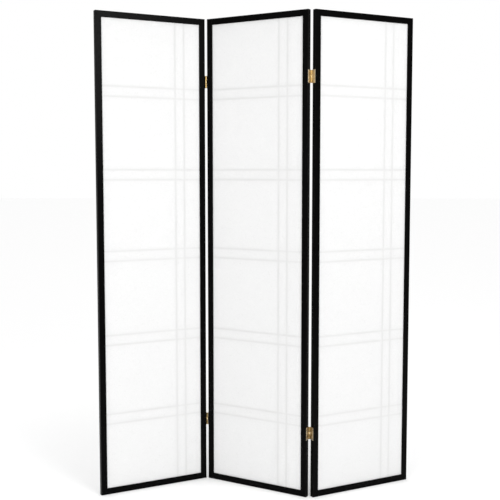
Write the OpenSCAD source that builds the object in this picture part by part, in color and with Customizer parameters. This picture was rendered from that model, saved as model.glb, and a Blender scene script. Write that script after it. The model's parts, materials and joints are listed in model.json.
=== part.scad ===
// Three-panel folding screen: black wooden frames, a paper sheet and a double-cross lattice in each,
// and two butt hinges at each seam. Millimetres, Z up. X runs along the screen and +Y is its front.
// The back (-Y) shows plain paper. The lattice lies against the front of the paper.
// The origin is on the floor under the centre of the middle panel.

/* [Screen] */
// Height of every panel
height = 1784; // [1400:1:2200]
// Width of one panel
panel_w = 432; // [340:1:600]
// Turn from each panel to the next as the screen stands; 0 is flat
fold_angle = 58.4; // [20:0.1:110]

/* [Frame] */
// Width of a stile's face
stile_w = 23; // [19:0.5:45]
// Width of a rail's face
rail_w = 23; // [19:0.5:45]
// Thickness of the stiles and rails
frame_t = 18.5; // [15:0.5:32]
// Width of the eased (chamfered) edges of the stiles and rails
edge_ease = 0.8; // [0.3:0.1:1.5]
// Length of the tenon on each end of a rail
tenon_l = 12; // [6:0.5:14]
// Thickness of that tenon
tenon_t = 6; // [4:0.5:7]
// Shoulder above and below the tenon
tenon_shoulder = 4; // [2:0.5:6]
// Clearance around the tenon in its mortise
tenon_clear = 0.1; // [0.05:0.05:0.3]

/* [Paper] */
// Thickness of the paper sheet
paper_t = 0.4; // [0.2:0.05:1]
// Depth of the paper's back below the frame's back face
paper_setback = 4.3; // [2:0.1:5]
// Length of the paper's edge that sits in the frame's groove
paper_seat = 5; // [3:0.5:6]
// Space left beyond the paper's edge at the bottom of the groove
paper_room = 1; // [0.5:0.5:2]
// Clearance on each face of the paper in the groove
paper_clear = 0.3; // [0.1:0.05:0.5]

/* [Lattice] */
// Width of a slat
slat_w = 6.4; // [4:0.1:10]
// Depth of a slat, from the paper forwards
slat_d = 6.5; // [4:0.1:8]
// Width of the eased edges of a slat
slat_ease = 0.5; // [0.2:0.1:1]
// Distance between the middles of the two cross slats of a pair
cross_pitch = 37; // [20:0.5:60]
// Distance between the middles of the two uprights
upright_pitch = 36; // [20:0.5:60]
// Middle of the pair of uprights, from the panel's right edge
upright_inset = 104; // [90:0.5:150]
// Middle of the lowest and of the highest pair of cross slats, from the nearer rail
cross_inset = 262; // [60:1:300]
// Length of a slat's end that sits in its socket
slat_seat = 5; // [3:0.5:6]
// Space left beyond a slat's end at the bottom of its socket
slat_room = 0.3; // [0.1:0.1:1]
// Clearance around a slat in its socket and where two slats cross
slat_clear = 0.05; // [0.05:0.05:0.2]
// Thickness of the glue between the paper and the slats
glue_t = 0.05; // [0.02:0.01:0.2]

/* [Hinges] */
// Middle of the lower hinge above the floor
hinge_rise = 240; // [120:1:400]
// Middle of the upper hinge below the top
hinge_drop = 236; // [120:1:400]
// Height of a hinge leaf
leaf_h = 48; // [40:1:70]
// Thickness of a hinge leaf
leaf_t = 1.2; // [0.8:0.1:2]
// Strip of the stile's edge that the leaf leaves bare beside the face away from its barrel
leaf_margin = 0.5; // [0:0.1:2]
// Height of the barrel, over all its knuckles
barrel_h = 45; // [36:1:66]
// Gap between the barrel and the face of the panel
barrel_gap = 0.35; // [0.3:0.05:1.5]
// Gap between one knuckle and the next
knuckle_gap = 0.25; // [0.1:0.05:0.5]
// Diameter of the hinge pin
pin_d = 3; // [2:0.1:5]
// Radial running clearance of the pin in the knuckles
pin_clear = 0.05; // [0.02:0.01:0.08]
// Height of the chamfered end that stands out of the barrel at each end of the pin
pin_crown = 0.6; // [0.3:0.1:0.9]

/* [Screws] */
// Diameter of a hinge screw's shank
screw_d = 2.8; // [2:0.1:3.5]
// Length of a hinge screw, with its head
screw_l = 13; // [8:0.5:13]
// Length of the screw's point
screw_point = 3.5; // [2:0.5:5]
// Radius of the blunt end of that point
screw_tip = 0.2; // [0.1:0.05:0.4]
// Distance between the two screws of a leaf
screw_pitch = 24; // [16:0.5:32]
// Radial clearance of a screw in its leaf and in its pilot hole
screw_clear = 0.05; // [0.05:0.01:0.1]
// Width of the arms of the cross recess in a screw's head
recess_w = 0.7; // [0.5:0.1:1]
// Depth of that recess
recess_depth = 0.8; // [0.4:0.1:1]

/* [Hidden] */
PANELS = ["left_panel", "middle_panel", "right_panel"];
// Heights of the pairs of cross slats, as shares of the way from the lowest pair to the highest
PAIR_LEVELS = [0, 0.245, 0.503, 0.75, 1];
PAIRS = [for (i = [1:len(PAIR_LEVELS)]) str("cross_pair_", i)];
PANEL_PIECES = concat(["left_stile", "right_stile", "bottom_rail", "top_rail", "paper",
    "left_upright", "right_upright"], PAIRS);
HINGES = ["left_lower_hinge", "left_upper_hinge", "right_lower_hinge", "right_upper_hinge"];
HINGE_PIECES = ["side_leaf", "middle_leaf", "pin", "side_screws", "middle_screws"];

BLACK = [0.035, 0.033, 0.033];
PAPER = [0.96, 0.96, 0.94];
BRASS = [0.80, 0.62, 0.36];
BRIGHT_BRASS = [0.90, 0.74, 0.48];
// Cutters reach this far past the face they open
past = 1;
$fn = 48;

// The frame's opening, and the groove and sockets around it
opening_w = panel_w - 2 * stile_w;
opening_h = height - 2 * rail_w;
groove_w = paper_t + 2 * paper_clear;
groove_y = paper_setback - paper_clear;
groove_depth = paper_seat + paper_room;
slat_y = paper_setback + paper_t + glue_t;
socket_depth = slat_seat + slat_room;
tenon_h = rail_w - 2 * tenon_shoulder;

// Middles of the slats in a panel, from its left edge and from the floor
upright_xs = [for (side = [-1, 1]) panel_w - upright_inset + side * upright_pitch / 2];
lowest_pair = rail_w + cross_inset;
pair_span = opening_h - 2 * cross_inset;
pair_zs = [for (share = PAIR_LEVELS) lowest_pair + share * pair_span];
cross_zs = [for (z = pair_zs) for (side = [-1, 1]) z + side * cross_pitch / 2];

// The barrel is tangent to the leaf's outer face, so its radius is half the gap between flat panels
barrel_r = pin_d / 2 + pin_clear + leaf_t;
half_gap = barrel_r;
axis_stand = barrel_r + barrel_gap;
leaf_w = frame_t - leaf_margin;
knuckle_h = (barrel_h - 2 * knuckle_gap) / 3;
knuckle_step = knuckle_h + knuckle_gap;
screw_row = frame_t / 2;
screw_zs = [-screw_pitch / 2, screw_pitch / 2];
hinge_zs = [hinge_rise, height - hinge_drop];

function turned(p, a) = [p.x * cos(a) - p.y * sin(a), p.x * sin(a) + p.y * cos(a)];

// The right seam's pivot; the left seam's is opposite it through the origin
pivot = turned([panel_w / 2 + half_gap, frame_t / 2 + axis_stand], -fold_angle / 2);

// Moves a panel's own frame (left edge, back face, floor) to where panel i stands
module place_panel(i) {
    if (i == 0)
        translate(-pivot) rotate(fold_angle / 2) translate([-panel_w - half_gap, axis_stand]) children();
    else if (i == 1)
        rotate(-fold_angle / 2) translate([-panel_w / 2, -frame_t / 2]) children();
    else
        translate(pivot) rotate(fold_angle / 2) translate([half_gap, -frame_t - axis_stand]) children();
}

// A rectangle with its corners cut off by ease
module eased_rectangle(w, h, ease) {
    polygon([[ease, 0], [w - ease, 0], [w, ease], [w, h - ease],
        [w - ease, h], [ease, h], [0, h - ease], [0, ease]]);
}

// A block with every edge eased, corner at the origin
module eased_block(w, t, h, ease) {
    intersection() {
        linear_extrude(h) eased_rectangle(w, t, ease);
        translate([0, t, 0]) rotate([90, 0, 0]) linear_extrude(t) eased_rectangle(w, h, ease);
        rotate([90, 0, 90]) linear_extrude(w) eased_rectangle(t, h, ease);
    }
}

// A stick along X with its long edges eased and its ends square, corner at the origin
module eased_stick(l, t, h, ease) {
    rotate([90, 0, 90]) linear_extrude(l) eased_rectangle(t, h, ease);
}

// One stile with its outer edge at x = 0, grooved and socketed on its inner edge
module stile(hinged) {
    color(BLACK)
    difference() {
        eased_block(stile_w, frame_t, height, edge_ease);
        translate([stile_w - groove_depth, groove_y, rail_w - groove_depth])
            cube([groove_depth + past, groove_w, opening_h + 2 * groove_depth]);
        for (z = cross_zs)
            translate([stile_w - socket_depth, slat_y - slat_clear, z - slat_w / 2 - slat_clear])
                cube([socket_depth + past, slat_d + 2 * slat_clear, slat_w + 2 * slat_clear]);
        for (z = [tenon_shoulder, height - tenon_shoulder - tenon_h])
            translate([stile_w - tenon_l, (frame_t - tenon_t) / 2, z]) mortise();
        if (hinged)
            for (z = hinge_zs)
                for (dz = screw_zs)
                    translate([-past, screw_row, z + dz]) rotate([0, 90, 0])
                        cylinder(r = screw_d / 2 + screw_clear, h = screw_l - leaf_t + past + screw_clear);
    }
}

// The hole for a tenon whose end is at x = 0, open towards +X
module mortise() {
    translate([-tenon_clear, -tenon_clear, -tenon_clear])
        cube([tenon_l + tenon_clear + past, tenon_t + 2 * tenon_clear, tenon_h + 2 * tenon_clear]);
}

module left_stile(hinged) {
    stile(hinged);
}

module right_stile(hinged) {
    translate([panel_w, 0, 0]) mirror([1, 0, 0]) stile(hinged);
}

// A rail between the stiles, grooved and socketed on its upper edge, with a tenon at each end
module bottom_rail() {
    color(BLACK)
    difference() {
        union() {
            translate([stile_w, 0, 0]) eased_stick(opening_w, frame_t, rail_w, edge_ease);
            translate([stile_w - tenon_l, (frame_t - tenon_t) / 2, tenon_shoulder])
                cube([opening_w + 2 * tenon_l, tenon_t, tenon_h]);
        }
        translate([stile_w - tenon_l - past, groove_y, rail_w - groove_depth])
            cube([opening_w + 2 * (tenon_l + past), groove_w, groove_depth + past]);
        for (x = upright_xs)
            translate([x - slat_w / 2 - slat_clear, slat_y - slat_clear, rail_w - socket_depth])
                cube([slat_w + 2 * slat_clear, slat_d + 2 * slat_clear, socket_depth + past]);
    }
}

module top_rail() {
    translate([0, 0, height]) mirror([0, 0, 1]) bottom_rail();
}

module paper() {
    color(PAPER)
    translate([stile_w - paper_seat, paper_setback, rail_w - paper_seat])
        cube([opening_w + 2 * paper_seat, paper_t, opening_h + 2 * paper_seat]);
}

// A cross slat with its middle at height z, halved at the back over each upright
module cross_slat(z) {
    translate([0, slat_y, z - slat_w / 2])
    difference() {
        translate([stile_w - slat_seat, 0, 0])
            eased_stick(opening_w + 2 * slat_seat, slat_d, slat_w, slat_ease);
        for (x = upright_xs)
            translate([x - slat_w / 2 - slat_clear, -past, -past])
                cube([slat_w + 2 * slat_clear, slat_d / 2 + slat_clear + past, slat_w + 2 * past]);
    }
}

module cross_pair(i) {
    color(BLACK)
    for (side = [-1, 1])
        cross_slat(pair_zs[i] + side * cross_pitch / 2);
}

// An upright with its middle at x, halved at the front under each cross slat
module upright(x) {
    color(BLACK)
    translate([x - slat_w / 2, slat_y, 0])
    difference() {
        translate([0, 0, rail_w - slat_seat])
            linear_extrude(opening_h + 2 * slat_seat) eased_rectangle(slat_w, slat_d, slat_ease);
        for (z = cross_zs)
            translate([-past, slat_d / 2, z - slat_w / 2 - slat_clear])
                cube([slat_w + 2 * past, slat_d / 2 + past, slat_w + 2 * slat_clear]);
    }
}

// Hinge pieces share a frame: the pin's axis is Z, and the stile's edge face is the plane x = half_gap,
// running from y = axis_stand, beside the barrel, to axis_stand + frame_t
module leaf(knuckles) {
    color(BRASS)
    difference() {
        union() {
            translate([half_gap - leaf_t, axis_stand, -leaf_h / 2]) cube([leaf_t, leaf_w, leaf_h]);
            for (k = knuckles)
                translate([0, 0, k * knuckle_step - knuckle_h / 2]) {
                    cylinder(r = barrel_r, h = knuckle_h);
                    translate([half_gap - leaf_t, 0, 0]) cube([leaf_t, axis_stand + past, knuckle_h]);
                }
        }
        translate([0, 0, -leaf_h]) cylinder(r = pin_d / 2 + pin_clear, h = 2 * leaf_h);
        for (z = screw_zs)
            translate([half_gap - leaf_t, axis_stand + screw_row, z]) countersink();
    }
}

// The hole for a countersunk screw that goes in along +X from a leaf's face
module countersink() {
    head_r = screw_d / 2 + leaf_t;
    rotate([0, 90, 0]) {
        cylinder(r1 = head_r + screw_clear, r2 = screw_d / 2 + screw_clear, h = leaf_t);
        translate([0, 0, -past]) cylinder(r = screw_d / 2 + screw_clear, h = leaf_t + 2 * past);
    }
}

module pin() {
    r = pin_d / 2;
    color(BRIGHT_BRASS)
    rotate_extrude()
        polygon([[0, -barrel_h / 2 - pin_crown], [r - pin_crown, -barrel_h / 2 - pin_crown],
            [r, -barrel_h / 2], [r, barrel_h / 2], [r - pin_crown, barrel_h / 2 + pin_crown],
            [0, barrel_h / 2 + pin_crown]]);
}

// A countersunk screw along +X, its head level with a leaf's face
module screw() {
    r = screw_d / 2;
    difference() {
        rotate([0, 90, 0]) rotate_extrude()
            polygon([[0, 0], [r + leaf_t, 0], [r, leaf_t], [r, screw_l - screw_point],
                [screw_tip, screw_l], [0, screw_l]]);
        for (turn = [0, 90])
            rotate([turn, 0, 0])
                translate([-past, -r, -recess_w / 2]) cube([recess_depth + past, screw_d, recess_w]);
    }
}

module screws() {
    color(BRIGHT_BRASS)
    for (z = screw_zs)
        translate([half_gap - leaf_t, axis_stand + screw_row, z]) screw();
}

// Moves a hinge's frame to where hinge i's leaf stands on the middle panel. At the left seam the barrel
// is on the back of the panels, and half a turn takes it to the front at the right seam.
module on_middle(i) {
    rotate(i < 2 ? 0 : 180)
        rotate(-fold_angle / 2)
            translate([-panel_w / 2 - half_gap, -frame_t / 2 - axis_stand, hinge_zs[i % 2]]) children();
}

// The same for the leaf on the side panel, which is a mirror image of the other
module on_side(i) {
    rotate(i < 2 ? 0 : 180)
        translate(-pivot) rotate(fold_angle / 2)
            translate([0, 0, hinge_zs[i % 2]]) mirror([1, 0, 0]) children();
}

for (i = [0:2])
    place_panel(i) {
        p = PANELS[i];
        left_stile(i > 0);
        right_stile(i < 2);
        bottom_rail();
        top_rail();
        paper();
        upright(upright_xs[0]);
        upright(upright_xs[1]);
        for (k = [0:len(PAIRS) - 1])
            cross_pair(k);
    }

for (i = [0:3]) {
    h = HINGES[i];
    on_side(i) leaf([-1, 1]);
    on_middle(i) leaf([0]);
    on_side(i) pin();
    on_side(i) screws();
    on_middle(i) screws();
}
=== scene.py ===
# %% [markdown]
# # A folding screen of black lacquered wood and white paper
# This lesson gives a three-panel screen its finishes, its light and its camera. The joinery is already
# made: every stile, rail, slat, sheet of paper and hinge piece comes in at its real size, in metres, and
# stays where it is. So the work here is what a finisher does: lacquer on the wood, a good sheet of paper in
# each frame, and brass that has been handled.

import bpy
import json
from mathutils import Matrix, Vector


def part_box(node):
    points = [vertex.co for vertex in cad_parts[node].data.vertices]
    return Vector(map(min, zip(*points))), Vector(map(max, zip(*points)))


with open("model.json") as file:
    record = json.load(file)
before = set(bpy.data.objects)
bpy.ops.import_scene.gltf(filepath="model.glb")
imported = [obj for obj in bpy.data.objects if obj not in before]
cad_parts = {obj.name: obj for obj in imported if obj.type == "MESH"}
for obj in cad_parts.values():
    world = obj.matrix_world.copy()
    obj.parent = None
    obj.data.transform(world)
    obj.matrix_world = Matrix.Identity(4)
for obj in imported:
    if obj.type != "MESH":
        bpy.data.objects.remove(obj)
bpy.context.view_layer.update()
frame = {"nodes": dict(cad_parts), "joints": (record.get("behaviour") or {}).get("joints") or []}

# %% The rest of the tools
import json
import math
from collections import namedtuple

import bpy
from mathutils import Vector

MM = 0.001
print("one millimetre is", MM, "of Blender's units")

# %% [markdown]
# ## Where each panel looks
# The panels stand in a zigzag, so grain and slats follow no world axis. A finish needs to know which way
# runs along a panel and which way its front faces. Both could be typed in as angles, but they can also be
# read off the two stiles: the line between their middles runs along the panel. Reading them keeps the
# finish right if the screen is ever made with another fold.

# %% Read the panels' directions
UP = Vector((0, 0, 1))
Panel = namedtuple("Panel", "name along front")


def middle(node):
    low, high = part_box(node)
    return (low + high) / 2


def read_panel(name):
    along = (middle(name + "_right_stile") - middle(name + "_left_stile")).normalized()
    return Panel(name, along, UP.cross(along))


panels = [read_panel(side + "_panel") for side in ("left", "middle", "right")]
for panel in panels:
    turn = math.degrees(math.atan2(panel.along.y, panel.along.x))
    print(panel.name, "is turned by", round(turn, 1), "degrees")

# %% [markdown]
# ## Sums that run over a surface
# A finish is full of small sums: "darker by a tenth where the mask is one", or "the distance to the nearest
# slat, less half its width". Blender does such sums with Math nodes, one for each sign. Wiring them by hand
# hides the sum, so a small class wraps a node's output and turns Python's own signs into those nodes.
# Colours and directions don't go through it, because a Math node keeps one number only.

# %% A number that changes over a surface


class Amount:
    """The output of a node. Used in a sum, it adds the Math node that does the sum."""

    def __init__(self, finish, socket):
        self.finish = finish
        self.socket = socket

    def sum(self, operation, *terms):
        return self.finish.node("ShaderNodeMath", {"operation": operation}, dict(enumerate(terms)))

    def __add__(self, other):
        return self.sum("ADD", self, other)

    def __sub__(self, other):
        return self.sum("SUBTRACT", self, other)

    def __rsub__(self, other):
        return self.sum("SUBTRACT", other, self)

    def __mul__(self, other):
        return self.sum("MULTIPLY", self, other)

    def __abs__(self):
        return self.sum("ABSOLUTE", self)

    def most(self, other):
        return self.sum("MAXIMUM", self, other)

    def fade(self, start, end):
        """0 where this is at start, 1 where it is at end, and a smooth change between."""
        limits = {"From Min": start, "From Max": end}
        return self.finish.node(
            "ShaderNodeMapRange", {"interpolation_type": "SMOOTHSTEP"}, {"Value": self, **limits}
        )

    __radd__ = __add__
    __rmul__ = __mul__


# %% [markdown]
# Every other node comes from one method, so that each is made the same way: its kind, then its settings,
# then what goes into its sockets. The settings come first because some of them change which sockets a node
# has. A Mix node is a case of that: once it mixes colours, its two colours are its sockets 6 and 7.

# %% A finish being made


class Finish:
    """A tree of nodes: the finish of a surface, or of the world around the screen."""

    def __init__(self, owner):
        owner.use_nodes = True
        self.owner = owner
        self.tree = owner.node_tree
        self.tree.nodes.clear()

    def node(self, kind, settings=None, sockets=None, output=0):
        made = self.tree.nodes.new(kind)
        for name, value in (settings or {}).items():
            setattr(made, name, value)
        for name, value in (sockets or {}).items():
            if isinstance(value, Amount):
                self.tree.links.new(value.socket, made.inputs[name])
            else:
                made.inputs[name].default_value = value
        return Amount(self, made.outputs[output]) if made.outputs else made

    def place(self):
        """Where a point of the surface is, in metres, while the screen stands as made."""
        return self.node("ShaderNodeTexCoord", output="Object")

    def vector(self, operation, *terms, output=0):
        """Maths on places and directions."""
        return self.node(
            "ShaderNodeVectorMath", {"operation": operation}, dict(enumerate(terms)), output=output
        )

    def measure(self, place, direction):
        """How far a place lies along a direction."""
        return self.vector("DOT_PRODUCT", place, direction, output="Value")

    def stretch(self, *lengths):
        """A place made of three numbers, for a pattern that is longer one way than another."""
        return self.node("ShaderNodeCombineXYZ", sockets=dict(enumerate(lengths)))

    def clouds(self, place, scale, detail=2.0, roughness=0.5):
        """Soft random patches from 0 to 1, about 1 / scale across."""
        sockets = {"Vector": place, "Scale": scale, "Detail": detail, "Roughness": roughness}
        return self.node("ShaderNodeTexNoise", sockets=sockets)

    def tint(self, share, first, second):
        """The first colour where share is 0, the second where it is 1."""
        return self.node("ShaderNodeMix", {"data_type": "RGBA"}, {0: share, 6: first, 7: second}, output=2)

    def dents(self, height, depth, **under):
        """A surface that rises where height is 1, by depth in metres."""
        sockets = {"Distance": depth, "Height": height, **under}
        return self.node("ShaderNodeBump", sockets=sockets, output="Normal")

    def surface(self, shader):
        self.node("ShaderNodeOutputMaterial", sockets={"Surface": shader})
        return self.owner


# %% Put a finish on a piece
def dress(node, material):
    for slot in frame["nodes"][node].material_slots:
        slot.material = material


# %% [markdown]
# ## Black lacquer
# A screen's frame is a light, straight-grained wood, sprayed black and rubbed to a satin. Three things tell
# lacquer from black plastic: the pores of the wood still show as fine dents along each stick, the sheen
# isn't even, and the eased edges are polished by hands. The pores run with the stick, so one function makes
# the finish for any direction. Stretching one noise along the stick gives pores that are long and thin. An
# eased edge needs no drawing: it is where a face looks half across its stick and half forward or back.

# %% Lacquer
BLACK = (0.0011, 0.0010, 0.0010, 1)
RUBBED_BLACK = (0.0075, 0.006, 0.005, 1)
PORE_WIDTH = 0.5 * MM
PORE_LENGTH = 22 * MM
PORE_DEPTH = 0.05 * MM
PORE_OPENS = (0.56, 0.7)
PEEL_WIDTH = 1.6 * MM
PEEL_DEPTH = 0.006 * MM
HAND_WIDTH = 60 * MM
HANDLED = (0.45, 0.65)
EDGE_TURNS = (0.2, 0.45)
SATIN = 0.23
HANDS_DULL = 0.12
PORE_DULL = 0.1
EDGE_SHINE = 0.08


def lacquer(name, panel, lengthways, sheen):
    finish = Finish(bpy.data.materials.new(name))
    place = finish.place()
    across = panel.along if lengthways == UP else UP
    x = finish.measure(place, across)
    y = finish.measure(place, panel.front)
    z = finish.measure(place, lengthways)
    grain = finish.stretch(x * (1 / PORE_WIDTH), y * (1 / PORE_WIDTH), z * (1 / PORE_LENGTH))
    pore = finish.clouds(grain, 1.0, detail=3.0, roughness=0.6).fade(*PORE_OPENS)
    hands = finish.clouds(place, 1 / HAND_WIDTH, detail=3.0)
    facing = finish.node("ShaderNodeTexCoord", output="Normal")
    turned = finish.measure(facing, across) * finish.measure(facing, panel.front)
    rubbed_and_sheen = abs(turned).fade(*EDGE_TURNS) * hands.fade(*HANDLED)
    skin = finish.dents(pore * -1, PORE_DEPTH)
    shader = finish.node(
        "ShaderNodeBsdfPrincipled",
        sockets={
            "Base Color": finish.tint(rubbed_and_sheen, BLACK, RUBBED_BLACK),
            "Roughness": SATIN + hands * HANDS_DULL + pore * PORE_DULL - rubbed_and_sheen * EDGE_SHINE,
            "Specular IOR Level": sheen,
            "Normal": finish.dents(finish.clouds(place, 1 / PEEL_WIDTH), PEEL_DEPTH, Normal=skin),
        },
    )
    return finish.surface(shader)


# %% [markdown]
# Uprights and level sticks of a panel need the grain in two directions, so a panel has two lacquers for its
# frame and two for its lattice. The slats get a thicker coat, so they are a little glossier.

# %% Lacquer every stick
FRAME_SHEEN = 0.036
LATTICE_SHEEN = 0.06
sticks = 0
for panel in panels:
    for lengthways, direction in ((UP, "upright"), (panel.along, "level")):
        frame_black = lacquer(f"{panel.name}_frame_{direction}", panel, lengthways, FRAME_SHEEN)
        lattice_black = lacquer(f"{panel.name}_lattice_{direction}", panel, lengthways, LATTICE_SHEEN)
        for node in frame["nodes"]:
            if not node.startswith(panel.name):
                continue
            level = "rail" in node or "cross" in node
            if "paper" in node or level != (direction == "level"):
                continue
            dress(node, frame_black if "stile" in node or "rail" in node else lattice_black)
            sticks += 1
print(sticks, "nodes of sticks lacquered")

# %% [markdown]
# ## Screen paper
# The paper is a white sheet of long fibres, stretched over the lattice and held round its edge in the
# frame. It lets light through, so it is part diffuse and part translucent. Where a black slat is glued to
# its front, the light that enters is lost in the slat, and the slat also blocks light from the far side, so
# a
# soft grey line shows on the plain side: part show-through of the black slat, part the slat's shadow. The
# shadow could be left to the light alone, but that depends on a lamp on the far side of the screen. So the
# sheet also carries the line in its own colour, as show-through and painted slat shadow, from the distance
# to the nearest slat.

# %% Where the slats lie behind the paper
Pair = namedtuple("Pair", "axis centre pitch width")


def extent(node, axis):
    steps = [vertex.co.dot(axis) for vertex in frame["nodes"][node].data.vertices]
    return min(steps), max(steps)


def read_pairs(panel):
    """The two uprights and each two cross slats, as a middle line and a pitch in metres."""
    low, high = extent(panel.name + "_left_upright", panel.along)
    width = high - low
    far = extent(panel.name + "_right_upright", panel.along)[1]
    pairs = [Pair(panel.along, (low + far) / 2, far - low - width, width)]
    for node in frame["nodes"]:
        if node.startswith(panel.name + "_cross"):
            low, high = extent(node, UP)
            pairs.append(Pair(UP, (low + high) / 2, high - low - width, width))
    return pairs


for pair in read_pairs(panels[0]):
    print("slats", round(pair.pitch, 4), "apart, each", round(pair.width, 4), "wide")

# %% [markdown]
# A noise passes through its middle value along thin curling lines, and those lines are the fibres. Three
# noises, each moved aside by its own drift, give three layers: two of pale fibres and one of grey ones.

# %% Fibres
FIBRE_SPREAD = 16 * MM
FIBRE_SHARE = 0.012
NOISE_MIDDLE = 0.5
PALE_DRIFTS = (0.0, 7.0)
GREY_DRIFT = 19.0


def fibres(finish, place, drift):
    aside = finish.vector("ADD", place, (drift, drift, drift))
    swirl = finish.clouds(aside, 1 / FIBRE_SPREAD, roughness=0.45)
    return abs(swirl - NOISE_MIDDLE).fade(FIBRE_SHARE, 0.0)


# %% Paper
PAPER_WHITE = (0.87, 0.87, 0.87, 1)
FIBRE_WHITE = (0.93, 0.93, 0.925, 1)
FIBRE_GREY = (0.79, 0.787, 0.78, 1)
# grey of the slat lines: part show-through of the black slat, part painted shadow of the slat
SLAT_SHADOW_GREY = (0.835, 0.835, 0.83, 1)
GLOW_WHITE = (0.95, 0.95, 0.95, 1)
SHOW_BLUR = 1.2 * MM
CLOUD_WIDTH = 45 * MM
PALE_SHARE = 0.7
CLOUD_SHARE = 0.3
GREY_SHARE = 0.7
FIBRE_HEIGHT = 0.06 * MM
FIBRE_RISE = 0.6
CLOUD_RISE = 0.4
FIBRE_SHINE = 0.12
PAPER_MATT = 0.82
PAPER_SHEEN = 0.2
PAPER_GLOW = 0.25


def paper(panel):
    finish = Finish(bpy.data.materials.new(panel.name + "_paper"))
    place = finish.place()
    slat_show_and_shadow = None
    for pair in read_pairs(panel):
        # grey near each slat: real show-through together with a painted slat shadow
        away = abs(abs(finish.measure(place, pair.axis) - pair.centre) - pair.pitch / 2)
        line = away.fade(pair.width / 2 + SHOW_BLUR, pair.width / 2 - SHOW_BLUR)
        slat_show_and_shadow = line if slat_show_and_shadow is None else slat_show_and_shadow.most(line)
    first, second = (fibres(finish, place, drift) for drift in PALE_DRIFTS)
    pale = first.most(second)
    grey = fibres(finish, place, GREY_DRIFT)
    strands = pale.most(grey)
    cloud = finish.clouds(place, 1 / CLOUD_WIDTH, detail=4.0)
    sheet = finish.tint(pale * PALE_SHARE + cloud * CLOUD_SHARE, PAPER_WHITE, FIBRE_WHITE)
    sheet = finish.tint(grey * GREY_SHARE, sheet, FIBRE_GREY)
    shader = finish.node(
        "ShaderNodeBsdfPrincipled",
        sockets={
            # the slat lines: part real show-through, part painted shadow of the slats
            "Base Color": finish.tint(slat_show_and_shadow, sheet, SLAT_SHADOW_GREY),
            "Roughness": PAPER_MATT - strands * FIBRE_SHINE,
            "Specular IOR Level": PAPER_SHEEN,
            "Normal": finish.dents(strands * FIBRE_RISE + cloud * CLOUD_RISE, FIBRE_HEIGHT),
        },
    )
    glow = finish.node("ShaderNodeBsdfTranslucent", sockets={"Color": GLOW_WHITE})
    mixed = finish.node("ShaderNodeMixShader", sockets={0: PAPER_GLOW, 1: shader, 2: glow})
    return finish.surface(mixed)


for panel in panels:
    dress(panel.name + "_paper", paper(panel))
    print(panel.name, "has its paper")

# %% [markdown]
# ## Brass
# The hinges are pressed from thin brass strip. The flat leaves keep the pale colour of the strip. The
# barrel, where the strip is rolled round the pin, is painted darker and yellower: a painted reflection,
# since a curved barrel shows a darker reflection than a flat leaf. Its middle carries a painted highlight.
# Mostly on the upper hinges, the outer edges of the leaves are painted pale: a painted reflection of the
# white room.
# Each of these could be a material of its own, but the leaf and its knuckle are one piece of metal. So one
# finish is made for a hinge, and it changes with the distance from the pin's axis. The rest is the same all
# over: fine brush marks along the barrel, and brown tarnish patches that are also a little rougher.

# %% How thick a barrel is, and how wide a leaf
def barrel_radius(leaf, pin_axis):
    """The barrel is the one part of a leaf that reaches past the pin's axis, so it can be measured there."""
    outward = pin_axis - middle(leaf)
    outward.z = 0
    outward.normalize()
    return extent(leaf, outward)[1] - pin_axis.dot(outward)


def leaf_reach(leaf, pin_axis):
    """How far a leaf's outer edge is from the pin's axis."""
    return max((vertex.co - pin_axis).xy.length for vertex in frame["nodes"][leaf].data.vertices)


for joint in frame["joints"]:
    leaf = joint["name"].removesuffix("_fold") + "_lower_hinge_side_leaf"
    pin_axis = Vector(joint["pos_m"])
    radius = round(barrel_radius(leaf, pin_axis) / MM, 2)
    reach = round(leaf_reach(leaf, pin_axis) / MM, 2)
    print(joint["name"], "turns in barrels with a radius of", radius, "mm")
    print("its leaves reach", reach, "mm from the axis")

# %% [markdown]
# Each hinge comes with three numbers: how much of it is brown with tarnish, how strong the painted highlight
# on the middle of its barrel is, and how strong the painted pale reflection on the edges of its leaves is.
# The distance from the axis is left squared, which saves a root: a limit of the fade is squared instead.

# %% Brass
LEAF_BRASS = (0.59, 0.50, 0.35, 1)
# painted reflection: the barrel is painted darker and yellower than the leaves
BARREL_REFLECTION_BRASS = (0.43, 0.29, 0.105, 1)
# painted highlight on the middle of the barrel
BARREL_HIGHLIGHT_BRASS = (0.88, 0.71, 0.43, 1)
# painted reflection: the outer edges of the leaves are painted pale
EDGE_REFLECTION_BRASS = (0.88, 0.76, 0.57, 1)
DULL_BRASS = (0.28, 0.20, 0.10, 1)
BRUSH_WIDTH = 0.12 * MM
BRUSH_LENGTH = 9 * MM
BRUSH_DEPTH = 0.004 * MM
TARNISH_WIDTH = 7 * MM
TARNISH_STARTS = 0.7
TARNISH_FULL = 0.85
HIGHLIGHT_FULL = 1.75 * MM
HIGHLIGHT_ENDS = 5.25 * MM
BRASS_POLISH = 0.24
TARNISH_DULL = 0.16
BRUSH_DULL = 0.1
BARREL_SHINE = 0.08
BARREL_BLEND = 1.25
EDGE_START = 0.6
TarnishAndSheen = namedtuple("TarnishAndSheen", "tarnish barrel edges")
# tarnish is real; barrel and edges set the strength of the painted highlight and painted edge reflection
TARNISH_AND_SHEEN = {
    "lower": TarnishAndSheen(tarnish=0.22, barrel=1.0, edges=0.1),
    "upper": TarnishAndSheen(tarnish=0.15, barrel=0.4, edges=0.9),
}


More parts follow.
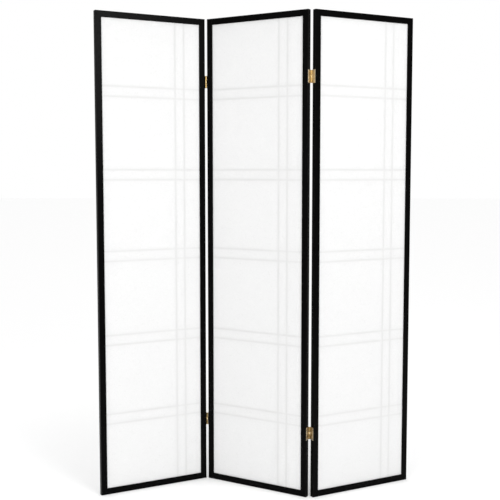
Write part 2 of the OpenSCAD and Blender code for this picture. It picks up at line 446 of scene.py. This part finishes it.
def brass(hinge, pin_axis, tarnish_and_sheen):
    leaf = hinge + "_side_leaf"
    radius = barrel_radius(leaf, pin_axis)
    reach = leaf_reach(leaf, pin_axis)
    finish = Finish(bpy.data.materials.new(hinge))
    place = finish.place()
    x = finish.measure(place, (1, 0, 0))
    y = finish.measure(place, (0, 1, 0))
    z = finish.measure(place, UP)
    from_x = x - pin_axis.x
    from_y = y - pin_axis.y
    away = from_x * from_x + from_y * from_y
    # where the barrel's painted darker reflection goes
    barrel = away.fade((radius * BARREL_BLEND) ** 2, radius**2)
    # where the painted pale reflection on the leaves' outer edges goes
    edge_reflection = away.fade((reach * EDGE_START) ** 2, reach**2) * tarnish_and_sheen.edges
    # painted highlight: a bright band on the middle of the barrel
    rubbed_and_sheen = barrel * abs(z - middle(leaf).z).fade(HIGHLIGHT_ENDS, HIGHLIGHT_FULL) * tarnish_and_sheen.barrel
    marks = finish.stretch(x * (1 / BRUSH_WIDTH), y * (1 / BRUSH_WIDTH), z * (1 / BRUSH_LENGTH))
    brushing = finish.clouds(marks, 1.0)
    brown = finish.clouds(place, 1 / TARNISH_WIDTH, detail=5.0, roughness=0.6)
    dull = brown.fade(TARNISH_STARTS - tarnish_and_sheen.tarnish, TARNISH_FULL - tarnish_and_sheen.tarnish)
    colour = finish.tint(barrel, LEAF_BRASS, BARREL_REFLECTION_BRASS)
    colour = finish.tint(edge_reflection, colour, EDGE_REFLECTION_BRASS)
    colour = finish.tint(dull, colour, DULL_BRASS)
    colour = finish.tint(rubbed_and_sheen, colour, BARREL_HIGHLIGHT_BRASS)
    shader = finish.node(
        "ShaderNodeBsdfPrincipled",
        sockets={
            "Base Color": colour,
            "Metallic": 1.0,
            "Roughness": BRASS_POLISH + dull * TARNISH_DULL + brushing * BRUSH_DULL - rubbed_and_sheen * BARREL_SHINE,
            "Normal": finish.dents(brushing, BRUSH_DEPTH),
        },
    )
    return finish.surface(shader)


for joint in frame["joints"]:
    for level, tarnish_and_sheen in TARNISH_AND_SHEEN.items():
        hinge = joint["name"].removesuffix("_fold") + "_" + level + "_hinge"
        metal = brass(hinge, Vector(joint["pos_m"]), tarnish_and_sheen)
        pieces = [node for node in frame["nodes"] if node.startswith(hinge)]
        for node in pieces:
            dress(node, metal)
        print(hinge, "has", len(pieces), "nodes of brass")

# %% [markdown]
# ## The studio
# The screen is shown from the plain side of its paper, so the lamps and the camera stand on that side. It
# gets soft light from all round and one large lamp at the right. That lamp reaches the two side panels more
# than the middle one, which turns away from it, so the zigzag reads. A weaker lamp on the left keeps the
# middle panel from going grey, and one straight above keeps the floor white. The floor is a little greyer
# near the feet, so that it doesn't light the foot of the paper too much. Further away it turns white, and
# meets the white room almost without a line.

# %% Floor
FLOOR_REACH = 40.0
FLOOR_NEAR = -1.3
FLOOR_GAP = 0.2 * MM
NEAR_WHITE = (0.90, 0.90, 0.90, 1)
FAR_WHITE = (1.0, 1.0, 1.0, 1)
WHITENS = (0.8, 2.0)
SPECKLE_WIDTH = 25 * MM
SPECKLE_SHARE = 0.1
FLOOR_MATT = 0.9
corners = [
    (x * FLOOR_REACH, y, -FLOOR_GAP)
    for x, y in ((-1, FLOOR_NEAR), (1, FLOOR_NEAR), (1, FLOOR_REACH), (-1, FLOOR_REACH))
]
mesh = bpy.data.meshes.new("floor")
mesh.from_pydata(corners, [], [(0, 1, 2, 3)])
floor = bpy.data.objects.new("floor", mesh)
bpy.context.scene.collection.objects.link(floor)
finish = Finish(bpy.data.materials.new("floor"))
place = finish.place()
away = finish.vector("LENGTH", place, output="Value")
whiter = away.fade(*WHITENS) + finish.clouds(place, 1 / SPECKLE_WIDTH) * SPECKLE_SHARE
pale = finish.tint(whiter, NEAR_WHITE, FAR_WHITE)
shader = finish.node("ShaderNodeBsdfPrincipled", sockets={"Base Color": pale, "Roughness": FLOOR_MATT})
mesh.materials.append(finish.surface(shader))
print("the floor begins", -FLOOR_NEAR, "m from the screen, on the camera's side")

# %% [markdown]
# The world is plain white where the camera sees it, and dimmer where it lights the screen, because light
# that is equally strong from all sides would hide the folds. The Light Path node tells the two cases apart.

# %% World
WHITE = (1, 1, 1, 1)
ROOM_LIGHT = 0.567
SEEN_LIGHT = 1.0
world = bpy.data.worlds.new("studio")
bpy.context.scene.world = world
studio = Finish(world)
room = studio.node("ShaderNodeBackground", sockets={"Color": WHITE, "Strength": ROOM_LIGHT})
backdrop = studio.node("ShaderNodeBackground", sockets={"Color": WHITE, "Strength": SEEN_LIGHT})
seen = studio.node("ShaderNodeLightPath", output="Is Camera Ray")
both = studio.node("ShaderNodeMixShader", sockets={0: seen, 1: room, 2: backdrop})
studio.node("ShaderNodeOutputWorld", sockets={"Surface": both})
print("the room lights the screen with", ROOM_LIGHT, "of the white that is seen")

# %% Lamps
AIM = Vector((0, 0, 1.1))
SUN_POWER = 1.36
SUN_SPREAD = 50


def hang(name, light):
    made = bpy.data.objects.new(name, light)
    bpy.context.scene.collection.objects.link(made)
    return made


def lamp(name, place, side, power):
    """A square lamp that looks at the middle of the screen."""
    light = bpy.data.lights.new(name, "AREA")
    light.shape = "RECTANGLE"
    light.size = side
    light.size_y = side
    light.energy = power
    made = hang(name, light)
    made.location = place
    made.rotation_euler = (AIM - Vector(place)).to_track_quat("-Z", "Y").to_euler()
    print(name, "is", side, "m square, with", power, "watts")


lamp("key", place=(1.5, -2.3, 2.1), side=1.2, power=38)
lamp("fill", place=(-1.0, -2.0, 1.6), side=1.4, power=16)
sun = bpy.data.lights.new("overhead", "SUN")
sun.energy = SUN_POWER
sun.angle = math.radians(SUN_SPREAD)
hang("overhead", sun)

# %% [markdown]
# ## The camera
# A screen is drawn best from a little above its middle and almost square on. The lens is long, so that the
# uprights stay nearly parallel.

# %% Camera
EYE = (0.0602, -3.3906, 1.2014)
LENS = 65.11
SENSOR = 36
LOOK_DOWN = 4.851
LOOK_LEFT = 1.465
camera = bpy.data.cameras.new("camera")
camera.lens = LENS
camera.sensor_width = SENSOR
eye = hang("camera", camera)
eye.location = EYE
eye.rotation_euler = (math.radians(90 - LOOK_DOWN), 0, math.radians(LOOK_LEFT))
bpy.context.scene.camera = eye
bpy.context.scene.view_settings.view_transform = "Standard"
print("the camera looks down by", LOOK_DOWN, "degrees through a lens of", LENS, "mm")
